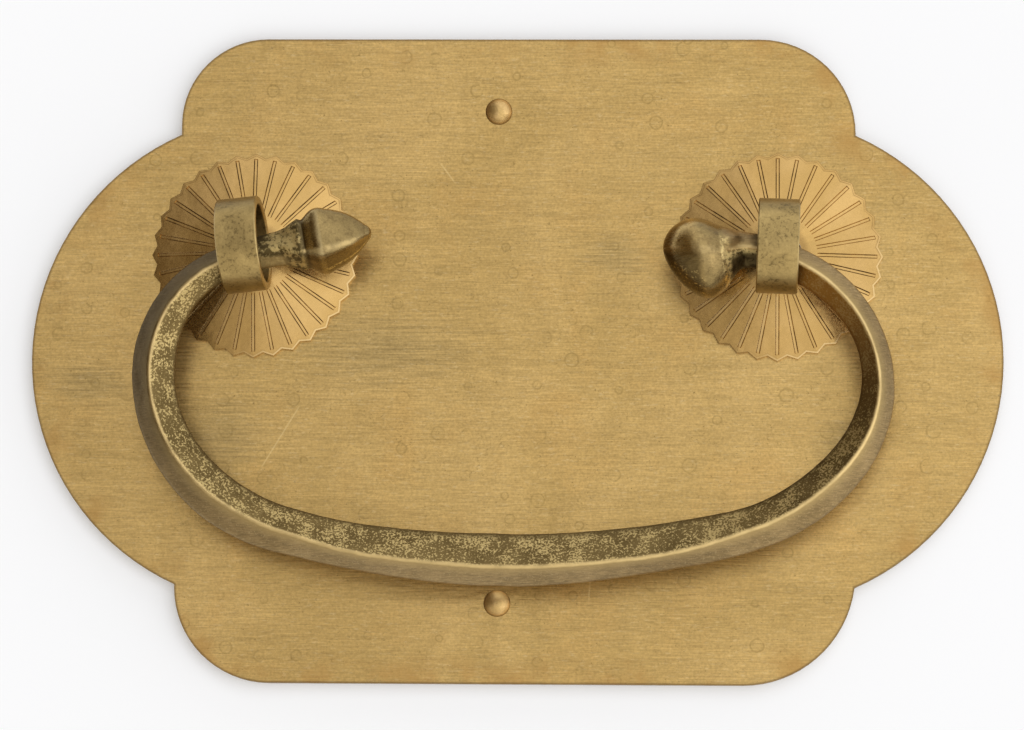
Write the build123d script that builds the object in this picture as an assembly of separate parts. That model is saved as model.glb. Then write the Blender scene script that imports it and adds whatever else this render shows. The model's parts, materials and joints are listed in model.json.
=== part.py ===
"""Brass drawer pull: lobed backplate, two sunburst rosettes, two cotter eyes, a cast bail and two nails.

Millimetres. The plate hangs upright on a drawer front: +Z is up, +X is to the viewer's right and -Y points
at the viewer. The origin is the middle of the plate's back face.
"""

from build123d import *
import math
import os

# Backplate: a round-cornered band with a disc-shaped lobe on each side
plate_width = 152.0
plate_height = 101.6
plate_thickness = 1.2
lobe_radius = 38.9
lobe_reach = 23.0
corner_radius = 15.0
corner_radius_top_left = 13.5
corner_radius_bottom_right = 17.5

# Eyes and rosettes stand above the middle of the plate, one on each side
eye_inset_left = 34.9
eye_inset_right = 35.2
eye_height = 16.2

# Rosette: a conical washer with pointed teeth and a flat-bottomed groove behind each point
rosette_tip_radius_left = 16.15
rosette_tip_radius_right = 16.45
rosette_rise = 3.4
rosette_sheet = 0.8
rosette_land = 0.5
tooth_count = 32
tooth_depth = 0.75
groove_width = 0.62
groove_floor_width = 0.36
groove_depth = 0.16
groove_margin = 0.9
groove_start_radius = 6.2

# Cotter eye: a flat strap bent into a ring, with both legs side by side
strap_width = 6.4
strap_thickness = 1.3
strap_edge_ease = 0.2
eye_outer_diameter = 14.7
eye_throat_length = 8.2
throat_bend_radius = 0.7
leg_gap = 0.1
leg_length = 30.0
leg_taper_length = 7.0
leg_tip_width = 3.0
leg_hole_clearance = 0.3
eye_turn_left = -6.0
eye_turn_right = 2.0
eye_lean_left = 4.0
eye_lean_right = 0.0

# Bail: a ridged bar on a chain of arcs, with a bud on each end
bail_overhang_left = 15.0
bail_overhang_right = 15.2
grip_drop = 47.35
grip_radius = 166.0
neck_slope_left = 15.5
neck_slope_right = 19.5
neck_radius = 30.0
neck_reach = 4.0
neck_width = 6.0
neck_depth = 6.0
bail_play = 0.3

# Section of the bar: how far its outer and inner edges and its front ridge lie outside the chain of arcs
grip_outer_edge = 4.2
grip_inner_edge = -4.7
grip_ridge = 1.15
grip_depth = 8.0
corner_outer_edge_left = 3.1
corner_outer_edge_right = 2.5
corner_inner_edge_left = -5.2
corner_inner_edge_right = -5.6
arm_outer_edge = 3.1
arm_inner_edge_left = -4.4
arm_inner_edge_right = -2.3
arm_ridge_left = -0.25
arm_ridge_right = 0.6
arm_depth = 6.6
bar_edge_ease = 0.5

# Bud: a four-sided acorn on a flared collar, with sizes as they are before the rounding
bud_neck_gap = 0.8
bud_neck_swell = 0.1
bud_collar_length = 4.6
bud_collar_width_left = 8.8
bud_collar_width_right = 7.0
bud_crease = 0.35
bud_shoulder_place = 7.4
bud_shoulder_width = 12.0
bud_shoulder_rounding = 2.0
bud_length_left = 16.7
bud_length_right = 15.6
bud_tip_rounding = 1.5
bud_facet_share = 0.82
bud_tilt_left = 3.4
bud_tilt_right = -13.5
bud_roll_left = 25.0
bud_roll_right = -4.0

# Nails: dome head on a pointed shank
nail_top_offset = -3.0
nail_top_inset = 11.55
nail_bottom_offset = -2.6
nail_bottom_inset = 12.55
nail_head_diameter = 4.2
nail_head_height = 1.5
nail_shank_diameter = 1.8
nail_shank_length = 13.0
nail_point_length = 3.0
nail_hole_clearance = 0.2

# Derived sizes
left_eye_x = eye_inset_left - plate_width / 2
right_eye_x = plate_width / 2 - eye_inset_right
nail_top_height = plate_height / 2 - nail_top_inset
nail_bottom_height = nail_bottom_inset - plate_height / 2
eye_inner_radius = eye_outer_diameter / 2 - strap_thickness
eye_mean_radius = eye_outer_diameter / 2 - strap_thickness / 2
leg_offset = (strap_thickness + leg_gap) / 2
leg_pair_depth = 2 * strap_thickness + leg_gap
leg_hole_diameter = math.hypot(strap_width, leg_pair_depth) + 2 * leg_hole_clearance
throat_y = -(plate_thickness + rosette_rise)
eye_y = throat_y - eye_throat_length

# The steeper neck hangs in its ring with a little play under its lowest point
neck_slope_radians = math.radians(max(neck_slope_left, neck_slope_right))
neck_corner_cut = bar_edge_ease * math.sqrt(0.5)
neck_reach_below = (neck_width / 2 - neck_corner_cut) / math.cos(neck_slope_radians)
neck_fall = strap_width / 2 * math.tan(neck_slope_radians) + strap_width**2 / (8 * neck_radius)
pivot_height = eye_height - (eye_inner_radius - neck_reach_below - neck_fall - bail_play)


def on_front(depth):
    """Plane parallel to the plate, seen by the viewer, this far in front of the plate's back face."""
    return Plane(origin=(0, -depth, 0), x_dir=(1, 0, 0), z_dir=(0, -1, 0))


def make_backplate():
    """Hand-cut sheet, with its corners rounded one by one."""
    half_band = plate_width / 2 - lobe_reach
    half_height = plate_height / 2
    corners = [
        (-half_band, half_height, corner_radius_top_left),
        (half_band, half_height, corner_radius),
        (-half_band, -half_height, corner_radius),
        (half_band, -half_height, corner_radius_bottom_right),
    ]
    band = Rectangle(2 * half_band, plate_height)
    for x, z, radius in corners:
        corner = band.vertices().sort_by_distance((x, z, 0))[0]
        band = fillet(corner, radius)
    lobe_centre = plate_width / 2 - lobe_radius
    outline = band + Locations((-lobe_centre, 0), (lobe_centre, 0)) * Circle(lobe_radius)
    eye_places = Locations((left_eye_x, eye_height), (right_eye_x, eye_height))
    nail_places = Locations((nail_top_offset, nail_top_height), (nail_bottom_offset, nail_bottom_height))
    holes = Sketch() + eye_places * Circle(leg_hole_diameter / 2)
    holes += nail_places * Circle(nail_shank_diameter / 2 + nail_hole_clearance)
    return extrude(on_front(0) * (outline - holes), plate_thickness)


def petal_cone(base_radius, top_radius, base_height, rise):
    """Many-sided cone with a ridge at each tooth of the rosette and a flat petal between two ridges."""
    step = 360 / tooth_count
    first = Vector(base_radius, 0, base_height)
    corners = [first.rotate(Axis.Z, index * step) for index in range(tooth_count)]
    petal_inset = (base_radius - top_radius) * math.cos(math.pi / tooth_count)
    lean = math.degrees(math.atan2(petal_inset, rise))
    return extrude(make_face(Polyline(*corners, close=True)), rise, taper=lean)


def make_rosette(centre_x, tip_radius):
    """Cone of sheet brass with flat petals, a zigzag rim and a groove from each tooth."""
    hole_radius = leg_hole_diameter / 2
    fall = rosette_rise - rosette_sheet
    rim = petal_cone(tip_radius, tip_radius, 0, rosette_sheet)
    top = petal_cone(tip_radius, hole_radius, rosette_sheet, fall)
    hollow = petal_cone(tip_radius - rosette_land, hole_radius, 0, fall)
    hole = extrude(Circle(hole_radius), rosette_rise)
    cone = rim + top - hollow - hole

    step = 360 / tooth_count
    zigzag = []
    for index in range(tooth_count):
        zigzag.append(Vector(tip_radius, 0).rotate(Axis.Z, index * step))
        zigzag.append(Vector(tip_radius - tooth_depth, 0).rotate(Axis.Z, (index + 0.5) * step))
    toothed = cone & extrude(make_face(Polyline(*zigzag, close=True)), rosette_rise)

    slope = math.atan2(fall, tip_radius - hole_radius)
    groove_run = (tip_radius - groove_margin - groove_start_radius) / math.cos(slope)
    start_height = rosette_sheet + (tip_radius - groove_start_radius) * math.tan(slope)
    down_slope = Vector(math.cos(slope), 0, -math.sin(slope))
    start_plane = Plane(origin=(groove_start_radius, 0, start_height), x_dir=(0, 1, 0), z_dir=down_slope)
    channel = make_face(Polyline(
        (-groove_width / 2, 0),
        (groove_width / 2, 0),
        (groove_floor_width / 2, -groove_depth),
        (-groove_floor_width / 2, -groove_depth),
        close=True,
    ))
    groove = extrude(start_plane * channel, groove_run)
    grooves = [groove.rotate(Axis.Z, index * step) for index in range(tooth_count)]
    rosette = toothed - grooves
    turned = Plane(origin=(centre_x, -plate_thickness, eye_height), x_dir=(0, 0, -1), z_dir=(0, -1, 0))
    return turned * rosette


def make_cotter(centre_x, turn, lean):
    """Strap bent from one leg round the ring to the other leg, then turned and leant in its hole."""
    bend_radius = throat_bend_radius + strap_thickness / 2
    bend_centre = Vector(0, leg_offset + bend_radius)
    ring_centre = Vector(eye_throat_length, 0)
    reach = math.hypot(ring_centre.X, bend_centre.Y)
    splay = math.asin((eye_mean_radius + bend_radius) / reach) - math.atan2(bend_centre.Y, ring_centre.X)
    normal = Vector(-math.sin(splay), math.cos(splay))
    bend_end = bend_centre - normal * bend_radius
    ring_start = ring_centre + normal * eye_mean_radius

    leg_end = throat_y - leg_length
    leg = Line((leg_end, leg_offset), (0, leg_offset))
    bend = TangentArc(leg @ 1, bend_end, tangent=(1, 0))
    side = Line(bend_end, ring_start)
    half = [leg, bend, side]
    other_half = [mirror(edge, Plane.XZ) for edge in half]
    ring_front = eye_throat_length + eye_mean_radius
    ring = ThreePointArc(ring_start, (ring_front, 0), (ring_start.X, -ring_start.Y))
    line = Curve() + half + ring + other_half
    strap = extrude(trace(line, strap_thickness), strap_width / 2, both=True)
    sides = strap.faces().filter_by(Axis.Z)
    strap = chamfer(sides.edges(), strap_edge_ease)

    ring_reach = eye_throat_length + eye_outer_diameter / 2
    taper_start = leg_end + leg_taper_length
    outline = Polyline(
        (ring_reach, -strap_width / 2),
        (taper_start, -strap_width / 2),
        (leg_end, -leg_tip_width / 2),
        (leg_end, leg_tip_width / 2),
        (taper_start, strap_width / 2),
        (ring_reach, strap_width / 2),
        close=True,
    )
    tapered = strap & extrude(Plane.XZ * make_face(outline), eye_outer_diameter / 2, both=True)
    across = Plane(origin=(centre_x, throat_y, eye_height), x_dir=(0, -1, 0), z_dir=(1, 0, 0))
    turn_axis = Axis((centre_x, 0, eye_height), (0, 1, 0))
    lean_axis = Axis((centre_x, -plate_thickness / 2, eye_height), (0, 0, 1))
    return (across * tapered).rotate(turn_axis, turn).rotate(lean_axis, -lean)


def polar(centre, radius, angle):
    """Point of the bail's plane on a circle, with the angle in degrees from +X towards +Z."""
    turn = math.radians(angle)
    return Vector(centre.X + radius * math.cos(turn), 0, centre.Z + radius * math.sin(turn))


def bar_section(point, angle, outer, inner, ridge, depth):
    """Kite across the bar: inner edge, back, outer edge and front ridge, with eased corners."""
    outward = polar(Vector(0, 0, 0), 1, angle)
    along = polar(Vector(0, 0, 0), 1, angle - 90)
    plane = Plane(origin=(point.X, eye_y, point.Z), x_dir=outward, z_dir=along)
    kite = make_face(Polyline((inner, 0), (0, -depth / 2), (outer, 0), (ridge, depth / 2), close=True))
    return plane * chamfer(kite.vertices(), bar_edge_ease)


def ease(run, knots):
    """Value at this distance along the bail, level at each knot of distance and value."""
    for (start, before), (end, after) in zip(knots, knots[1:]):
        if run <= end:
            share = (run - start) / (end - start)
            return before + (after - before) * (1 - math.cos(math.pi * share)) / 2
    return knots[-1][1]


def bail_half(eye_x, overhang, neck_slope, corner, arm):
    """Stations of half the bail, drawn on the right, from the middle of the grip to the bud.

    The corner is given by its outer and inner edges and the arm by its inner edge and ridge. Each station has
    its point, its outward angle in degrees and the bar's outer edge, inner edge, ridge and depth.
    """
    half_span = eye_x + overhang
    neck_centre = polar(Vector(eye_x, 0, pivot_height), -neck_radius, 90 - neck_slope)
    neck_end = math.degrees(math.acos((eye_x + neck_reach - neck_centre.X) / neck_radius))
    shoulder_share = math.cos(math.radians(neck_end))
    shoulder_radius = (half_span - neck_centre.X - neck_radius * shoulder_share) / (1 - shoulder_share)
    shoulder_centre = polar(neck_centre, neck_radius - shoulder_radius, neck_end)
    grip_bottom = pivot_height - grip_drop
    sag = grip_bottom - shoulder_centre.Z
    bend_radius = -(half_span**2 + sag**2 + 2 * sag * grip_radius) / (2 * (grip_radius - half_span))
    bend_centre = Vector(half_span - bend_radius, 0, shoulder_centre.Z)
    grip_centre = Vector(0, 0, grip_bottom + grip_radius)
    grip_end = math.degrees(math.atan2(bend_centre.X, grip_centre.Z - bend_centre.Z)) - 90
    bud_x = eye_x - strap_width / 2 - bud_neck_gap
    neck_start = math.degrees(math.acos((bud_x - neck_centre.X) / neck_radius))

    arcs = [
        (grip_centre, grip_radius, -90, grip_end, 3),
        (bend_centre, bend_radius, grip_end, 0, 4),
        (shoulder_centre, shoulder_radius, 0, neck_end, 4),
        (neck_centre, neck_radius, neck_end, neck_start, 3),
    ]
    path = [(Vector(0, 0, grip_bottom), -90, 0)]
    arc_ends = []
    run = 0
    for centre, radius, first, last, count in arcs:
        for index in range(1, count + 1):
            angle = first + (last - first) * index / count
            run += radius * math.radians(last - first) / count
            path.append((polar(centre, radius, angle), angle, run))
        arc_ends.append(run)
    grip_run, arm_run, shoulder_run, bud_run = arc_ends
    corner_run = (grip_run + arm_run) / 2

    corner_outer_edge, corner_inner_edge = corner
    arm_inner_edge, arm_ridge = arm
    outer_knots = [
        (0, grip_outer_edge),
        (corner_run, corner_outer_edge),
        (arm_run, arm_outer_edge),
        (bud_run, neck_width / 2),
    ]
    inner_knots = [
        (0, grip_inner_edge),
        (corner_run, corner_inner_edge),
        (arm_run, arm_inner_edge),
        (shoulder_run, -neck_width / 2),
    ]
    ridge_knots = [(0, grip_ridge), (arm_run, arm_ridge), (shoulder_run, 0)]
    depth_knots = [(0, grip_depth), (arm_run, arm_depth), (bud_run, neck_depth)]
    stations = []
    for point, angle, run in path:
        section = [ease(run, knots) for knots in (outer_knots, inner_knots, ridge_knots, depth_knots)]
        stations.append((point, angle, *section))
    return stations


def bud_slab(length, collar_width, girth, turn):
    """Profile of the bud from collar to tip, right across and turned about the bud's axis."""
    neck_half = (neck_width / 2 + bud_neck_swell) * girth
    collar_half = collar_width / 2 * girth
    shoulder_half = bud_shoulder_width / 2 * girth
    collar = (bud_collar_length, collar_half)
    crease = (bud_collar_length + bud_crease, collar_half - bud_crease)
    shoulder = (bud_shoulder_place, shoulder_half)
    tip = (length, 0)
    flare = TangentArc((0, neck_half), collar, tangent=(1, 0))
    upper = Curve() + flare + Polyline(collar, crease, shoulder, tip)
    profile = make_face(upper + mirror(upper, Plane.XZ) + Line((0, neck_half), (0, -neck_half)))
    roundings = [
        (shoulder, bud_shoulder_rounding),
        ((bud_shoulder_place, -shoulder_half), bud_shoulder_rounding),
        (tip, bud_tip_rounding),
    ]
    for place, radius in roundings:
        corner = profile.vertices().sort_by_distance((*place, 0))[0]
        profile = fillet(corner, radius)
    return extrude(profile, bud_shoulder_width, both=True).rotate(Axis.X, turn)


def make_bud(point, axis_angle, roll, length, collar_width):
    """Four-sided acorn: two crossed profiles leave broad sides, and two wider ones ease the ridges."""
    share = bud_facet_share
    broad = bud_slab(length, collar_width, share, 45) & bud_slab(length, collar_width, share, -45)
    bud = broad & (bud_slab(length, collar_width, 1, 0) & bud_slab(length, collar_width, 1, 90))
    axis = polar(Vector(0, 0, 0), 1, axis_angle)
    place = Plane(origin=(point.X, eye_y, point.Z), x_dir=axis, z_dir=(0, -1, 0))
    return place * bud.rotate(Axis.X, roll)


def make_bail():
    """Cast in one: the bar through both eyes and a bud on each end."""
    left_corner = (corner_outer_edge_left, corner_inner_edge_left)
    right_corner = (corner_outer_edge_right, corner_inner_edge_right)
    left_arm = (arm_inner_edge_left, arm_ridge_left)
    right_arm = (arm_inner_edge_right, arm_ridge_right)
    left = bail_half(-left_eye_x, bail_overhang_left, neck_slope_left, left_corner, left_arm)
    right = bail_half(right_eye_x, bail_overhang_right, neck_slope_right, right_corner, right_arm)
    mirrored = [(Vector(-point.X, 0, point.Z), 180 - angle, *section) for point, angle, *section in left]
    stations = mirrored[:0:-1] + right
    bar = loft([bar_section(*station) for station in stations])
    left_end, left_angle = stations[0][:2]
    right_end, right_angle = stations[-1][:2]
    left_axis = left_angle - 90 + bud_tilt_left
    right_axis = right_angle + 90 - bud_tilt_right
    left_bud = make_bud(left_end, left_axis, bud_roll_left, bud_length_left, bud_collar_width_left)
    right_bud = make_bud(right_end, right_axis, bud_roll_right, bud_length_right, bud_collar_width_right)
    return bar + left_bud + right_bud


def make_nail(offset, height):
    """Dome head that sits on the plate, turned in one piece with its pointed shank."""
    head_radius = nail_head_diameter / 2
    shank_radius = nail_shank_diameter / 2
    dome_radius = (head_radius**2 + nail_head_height**2) / (2 * nail_head_height)
    half_rise = math.asin(head_radius / dome_radius) / 2
    dome_middle = (dome_radius * math.sin(half_rise),
                   nail_head_height - dome_radius * (1 - math.cos(half_rise)))
    dome = ThreePointArc((0, nail_head_height), dome_middle, (head_radius, 0))
    shank = Polyline(
        (head_radius, 0),
        (shank_radius, 0),
        (shank_radius, nail_point_length - nail_shank_length),
        (0, -nail_shank_length),
        (0, nail_head_height),
    )
    nail = revolve(Plane.XZ * make_face(Curve() + dome + shank), Axis.Z)
    seat = Plane(origin=(offset, -plate_thickness, height), x_dir=(1, 0, 0), z_dir=(0, -1, 0))
    return seat * nail


os.makedirs("parts", exist_ok=True)
export_step(make_backplate(), "parts/backplate.step")
export_step(make_rosette(left_eye_x, rosette_tip_radius_left), "parts/rosette_left.step")
export_step(make_rosette(right_eye_x, rosette_tip_radius_right), "parts/rosette_right.step")
export_step(make_cotter(left_eye_x, eye_turn_left, eye_lean_left), "parts/cotter_left.step")
export_step(make_cotter(right_eye_x, eye_turn_right, eye_lean_right), "parts/cotter_right.step")
export_step(make_bail(), "parts/bail_handle.step")
export_step(make_nail(nail_top_offset, nail_top_height), "parts/nail_top.step")
export_step(make_nail(nail_bottom_offset, nail_bottom_height), "parts/nail_bottom.step")
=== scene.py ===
import json
import math

import bpy
from mathutils import Matrix, Quaternion, Vector, noise


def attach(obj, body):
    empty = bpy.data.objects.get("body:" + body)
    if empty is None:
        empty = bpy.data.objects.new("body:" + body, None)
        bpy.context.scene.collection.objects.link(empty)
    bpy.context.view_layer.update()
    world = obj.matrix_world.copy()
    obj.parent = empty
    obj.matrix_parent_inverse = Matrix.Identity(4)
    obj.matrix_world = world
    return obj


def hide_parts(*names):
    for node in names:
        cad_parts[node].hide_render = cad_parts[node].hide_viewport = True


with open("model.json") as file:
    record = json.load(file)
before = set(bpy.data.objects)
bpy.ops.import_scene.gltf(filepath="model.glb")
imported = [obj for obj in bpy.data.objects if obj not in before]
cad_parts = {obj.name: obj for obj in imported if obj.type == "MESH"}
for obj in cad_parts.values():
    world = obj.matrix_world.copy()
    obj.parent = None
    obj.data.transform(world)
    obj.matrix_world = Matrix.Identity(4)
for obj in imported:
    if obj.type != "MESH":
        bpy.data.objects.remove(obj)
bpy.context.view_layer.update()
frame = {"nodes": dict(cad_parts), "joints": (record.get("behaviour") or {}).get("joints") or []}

MM = 0.001
nodes = frame["nodes"]

# Sizes of the pull in millimetres, as in the CAD part
PLATE_HALF_WIDTH = 76.0
PLATE_HALF_HEIGHT = 50.8
PLATE_THICKNESS = 1.2
LOBE_RADIUS = 38.9
BAND_HALF_WIDTH = 53.0
CORNER_RADIUS = 15.0
CORNER_RADIUS_TOP_LEFT = 13.5
CORNER_RADIUS_BOTTOM_RIGHT = 17.5
EYE_X = {"left": -41.1, "right": 40.8}
EYE_Z = 16.2
EYE_Y = frame["joints"][0]["pos_m"][1] / MM
PIVOT_Z = frame["joints"][0]["pos_m"][2] / MM
TEETH = 32
TIP_RADIUS = {"left": 16.15, "right": 16.45}
STRAP_HALF_WIDTH = 3.2

# The bail's centre line: grip and neck are arcs, and the bend and shoulder between them follow
BAIL_DROP = 47.35
GRIP_RADIUS = 166.0
NECK_RADIUS = 30.0
NECK_REACH = 4.0
NECK_HALF = 3.0
GRIP_DEPTH = 8.0
ARM_DEPTH = 6.6
RIDGE_ROUNDING = 0.65
EDGE_ROUNDING = 1.05
ROUNDING_STEPS = 8
FLAT_STEPS = 6
ROW_SPACING = 0.7

# The buds: the collar starts a little way along the neck, and the left bud has eight facets
BUD_START = 0.9
COLLAR_START_HALF = 3.1
BLUNT_CREST = Vector((7.6, 6.4))
BLUNT_TIP_SAG = 0.6
FACET_SPAN = 0.82 * math.sqrt(2)
FACET_SHARPNESS = 14
ROUND_REACH = 0.97
POINT_HALF = 0.02
NOT_ON_BUD = -5.0

# Values that the bail's mesh carries for its material
MARKS = ("ridge_mm", "face", "edge_mm", "run_mm", "bud_mm", "pitted")

# The board lies just behind the plate and reaches a little way under it
BOARD_OVERLAP = 3.5
BOARD_Y = 0.8
BOARD_RADIUS = 2500.0
BOARD_GLOW = 0.235

# The photograph's camera: focal length and shift in its pixels, distance in metres
PHOTO_WIDTH = 1024
FOCAL_PIXELS = 5118.5
SHIFT_PIXELS = (-3.84, -5.76)
SENSOR_WIDTH = 36.0
CAMERA_DISTANCE = 0.8


class Look:
    """A node material, whose methods add nodes and return their outputs."""

    def __init__(self, name):
        self.material = bpy.data.materials.new(name)
        self.material.use_nodes = True
        self.tree = self.material.node_tree
        self.tree.nodes.clear()
        coord = self.node("ShaderNodeTexCoord").outputs["Object"]
        self.mm = self.vector("SCALE", coord, scale=1 / MM)

    def node(self, kind, **settings):
        made = self.tree.nodes.new(kind)
        for key, value in settings.items():
            setattr(made, key, value)
        return made

    def put(self, socket, value):
        if isinstance(value, bpy.types.NodeSocket):
            self.tree.links.new(value, socket)
        elif isinstance(value, (tuple, list)) and len(value) == 3 and socket.type == "RGBA":
            socket.default_value = (*value, 1)
        else:
            socket.default_value = value

    def math(self, operation, a, b=0.0, c=0.0):
        made = self.node("ShaderNodeMath", operation=operation)
        for socket, value in zip(made.inputs, (a, b, c)):
            self.put(socket, value)
        return made.outputs[0]

    def times(self, *factors):
        product = factors[0]
        for factor in factors[1:]:
            product = self.math("MULTIPLY", product, factor)
        return product

    def rest(self, share):
        """What a share leaves of one."""
        return self.math("SUBTRACT", 1.0, share)

    def off(self, value, middle):
        return self.math("ABSOLUTE", self.math("SUBTRACT", value, middle))

    def length(self, a, b):
        return self.math("SQRT", self.math("ADD", self.times(a, a), self.times(b, b)))

    def vector(self, operation, a, b=(0, 0, 0), scale=1.0):
        made = self.node("ShaderNodeVectorMath", operation=operation)
        self.put(made.inputs[0], a)
        if operation == "SCALE":
            self.put(made.inputs["Scale"], scale)
        else:
            self.put(made.inputs[1], b)
        return made.outputs["Value"] if operation in ("LENGTH", "DOT_PRODUCT") else made.outputs["Vector"]

    def place(self, scale=(1, 1, 1), turn=0.0, shift=(0, 0, 0)):
        """Position in millimetres, scaled, turned about the Y axis by degrees and shifted."""
        made = self.node("ShaderNodeMapping")
        self.put(made.inputs["Vector"], self.mm)
        self.put(made.inputs["Location"], shift)
        self.put(made.inputs["Rotation"], (0, math.radians(turn), 0))
        self.put(made.inputs["Scale"], scale)
        return made.outputs["Vector"]

    def noise(self, where, scale, detail=3.0, rough=0.5, twist=0.0):
        made = self.node("ShaderNodeTexNoise")
        for key, value in (("Vector", where), ("Scale", scale), ("Detail", detail), ("Roughness", rough)):
            self.put(made.inputs[key], value)
        self.put(made.inputs["Distortion"], twist)
        return made.outputs["Fac"]

    def step(self, value, low, high, at_low=0.0, at_high=1.0):
        made = self.node("ShaderNodeMapRange", interpolation_type="SMOOTHSTEP")
        keys = ("Value", "From Min", "From Max", "To Min", "To Max")
        for key, given in zip(keys, (value, low, high, at_low, at_high)):
            self.put(made.inputs[key], given)
        return made.outputs[0]

    def mix(self, share, a, b, kind="MIX"):
        made = self.node("ShaderNodeMix", data_type="RGBA", blend_type=kind, clamp_factor=True)
        self.put(made.inputs[0], share)
        self.put(made.inputs[6], a)
        self.put(made.inputs[7], b)
        return made.outputs[2]

    def shade(self, colour, amount):
        """Colour times a grey amount."""
        grey = self.node("ShaderNodeCombineColor")
        for socket in grey.inputs:
            self.put(socket, amount)
        return self.mix(1.0, colour, grey.outputs[0], "MULTIPLY")

    def bump(self, height, depth, strength=1.0, under=None):
        made = self.node("ShaderNodeBump")
        self.put(made.inputs["Height"], height)
        self.put(made.inputs["Distance"], depth * MM)
        self.put(made.inputs["Strength"], strength)
        if under is not None:
            self.put(made.inputs["Normal"], under)
        return made.outputs["Normal"]

    def attribute(self, name):
        return self.node("ShaderNodeAttribute", attribute_name=name).outputs["Fac"]

    def split(self):
        made = self.node("ShaderNodeSeparateXYZ")
        self.put(made.inputs[0], self.mm)
        return made.outputs

    def spots(self, x, z, spacing):
        """Flat cells: millimetres from the cell's own point, and two random values for the cell."""
        flat = self.node("ShaderNodeCombineXYZ")
        self.put(flat.inputs[0], x)
        self.put(flat.inputs[1], z)
        made = self.node("ShaderNodeTexVoronoi", voronoi_dimensions="2D")
        self.put(made.inputs["Vector"], flat.outputs[0])
        self.put(made.inputs["Scale"], 1 / spacing)
        tint = self.node("ShaderNodeSeparateColor")
        self.put(tint.inputs[0], made.outputs["Color"])
        return self.math("MULTIPLY", made.outputs["Distance"], spacing), tint.outputs[0], tint.outputs[1]

    def finish(self, colour, roughness, normal):
        shader = self.node("ShaderNodeBsdfPrincipled")
        self.put(shader.inputs["Base Color"], colour)
        self.put(shader.inputs["Roughness"], roughness)
        self.put(shader.inputs["Metallic"], 1.0)
        self.put(shader.inputs["Normal"], normal)
        out = self.node("ShaderNodeOutputMaterial")
        self.tree.links.new(shader.outputs[0], out.inputs[0])
        return self.material


def inside_edge(look, x, z):
    """Distance in millimetres from the plate's outline, positive on the plate."""
    beyond_x = look.math("ABSOLUTE", x)
    beyond_z = look.math("ABSOLUTE", z)
    lobe_x = look.math("SUBTRACT", beyond_x, PLATE_HALF_WIDTH - LOBE_RADIUS)
    lobe = look.math("SUBTRACT", LOBE_RADIUS, look.length(lobe_x, z))
    left_top = look.times(look.math("LESS_THAN", x, 0.0), look.math("GREATER_THAN", z, 0.0))
    right_bottom = look.times(look.math("GREATER_THAN", x, 0.0), look.math("LESS_THAN", z, 0.0))
    radius = look.math("MULTIPLY_ADD", left_top, CORNER_RADIUS_TOP_LEFT - CORNER_RADIUS, CORNER_RADIUS)
    radius = look.math("MULTIPLY_ADD", right_bottom, CORNER_RADIUS_BOTTOM_RIGHT - CORNER_RADIUS, radius)
    corner_x = look.math("ADD", look.math("SUBTRACT", beyond_x, BAND_HALF_WIDTH), radius)
    corner_z = look.math("ADD", look.math("SUBTRACT", beyond_z, PLATE_HALF_HEIGHT), radius)
    corner = look.length(look.math("MAXIMUM", corner_x, 0.0), look.math("MAXIMUM", corner_z, 0.0))
    return look.math("MAXIMUM", lobe, look.math("SUBTRACT", radius, corner))


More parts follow.
